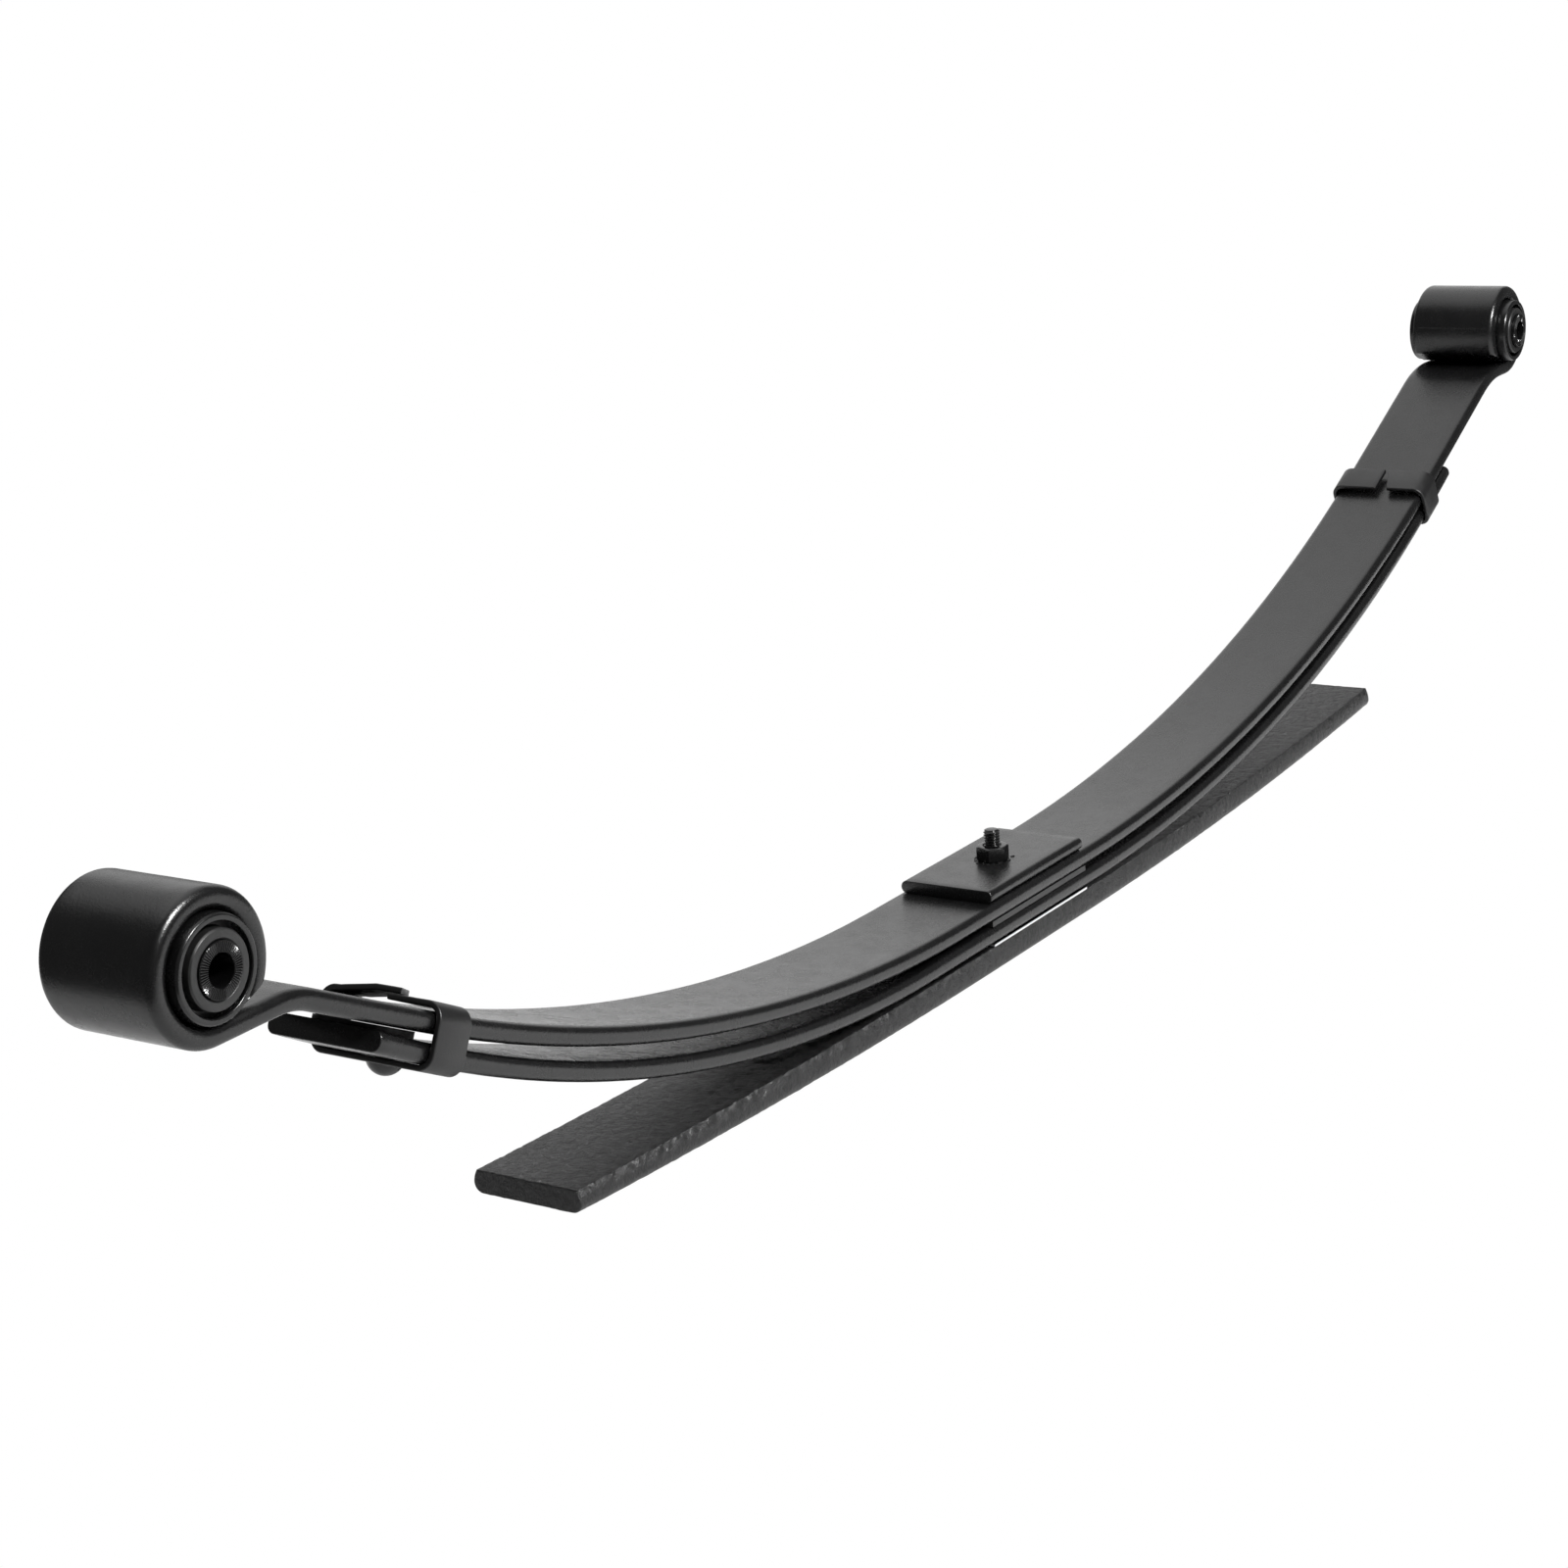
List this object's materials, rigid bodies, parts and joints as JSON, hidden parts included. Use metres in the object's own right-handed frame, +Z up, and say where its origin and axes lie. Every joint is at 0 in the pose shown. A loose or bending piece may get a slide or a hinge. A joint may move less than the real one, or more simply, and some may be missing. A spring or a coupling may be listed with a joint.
{
  "type": "leaf spring",
  "caption": "Two-stage leaf spring with full-length leaves, upturned rubber-bushed eyes, rebound clips and a thick overload leaf, clamped by a centre bolt.",
  "frame": {"origin": "on the centre-bolt axis at the underside of the overload leaf, where the spring sits on the axle pad", "axes": "X along the spring with the front eye at -X, Y across the leaves, +Z up along the centre bolt"},
  "size_m": [1.385, 0.078, 0.2646],
  "materials": {
    "leaf_paint": "satin",
    "overload_paint": "matte",
    "zinc": "bright",
    "fastener_paint": "gloss",
    "pad_plastic": "matte",
    "bush_paint": "satin",
    "bush_rubber": "matte",
    "tube_steel": "gloss"
  },
  "bodies": {
    "spring": {"main_leaf": "leaf_paint", "second_leaf": "leaf_paint", "overload_leaf": "overload_paint", "top_plate": "leaf_paint", "upper_spacer": "leaf_paint", "lower_spacer": "zinc", "centre_bolt": "fastener_paint", "centre_nut": "fastener_paint", "front_clip": "leaf_paint", "rear_clip": "leaf_paint", "clip_rivets": "fastener_paint", "front_tip_pad": "pad_plastic", "rear_tip_pad": "pad_plastic", "front_bush_sleeve": "bush_paint", "front_bush_rubber": "bush_rubber", "rear_bush_sleeve": "bush_paint", "rear_bush_rubber": "bush_rubber"},
    "front_tube": {"front_bush_tube": "tube_steel"},
    "rear_tube": {"rear_bush_tube": "tube_steel"}
  },
  "joints": [
    {"name": "front_tube_twist", "type": "hinge", "parent": "spring", "child": "front_tube", "pos_m": [-0.617, 0, 0.1926], "axis": [0, 1, 0], "range_deg": [-25, 25], "stiffness_Nm_per_rad": 40},
    {"name": "rear_tube_twist", "type": "hinge", "parent": "spring", "child": "rear_tube", "pos_m": [0.706, 0, 0.2276], "axis": [0, 1, 0], "range_deg": [-30, 30], "stiffness_Nm_per_rad": 40}
  ]
}
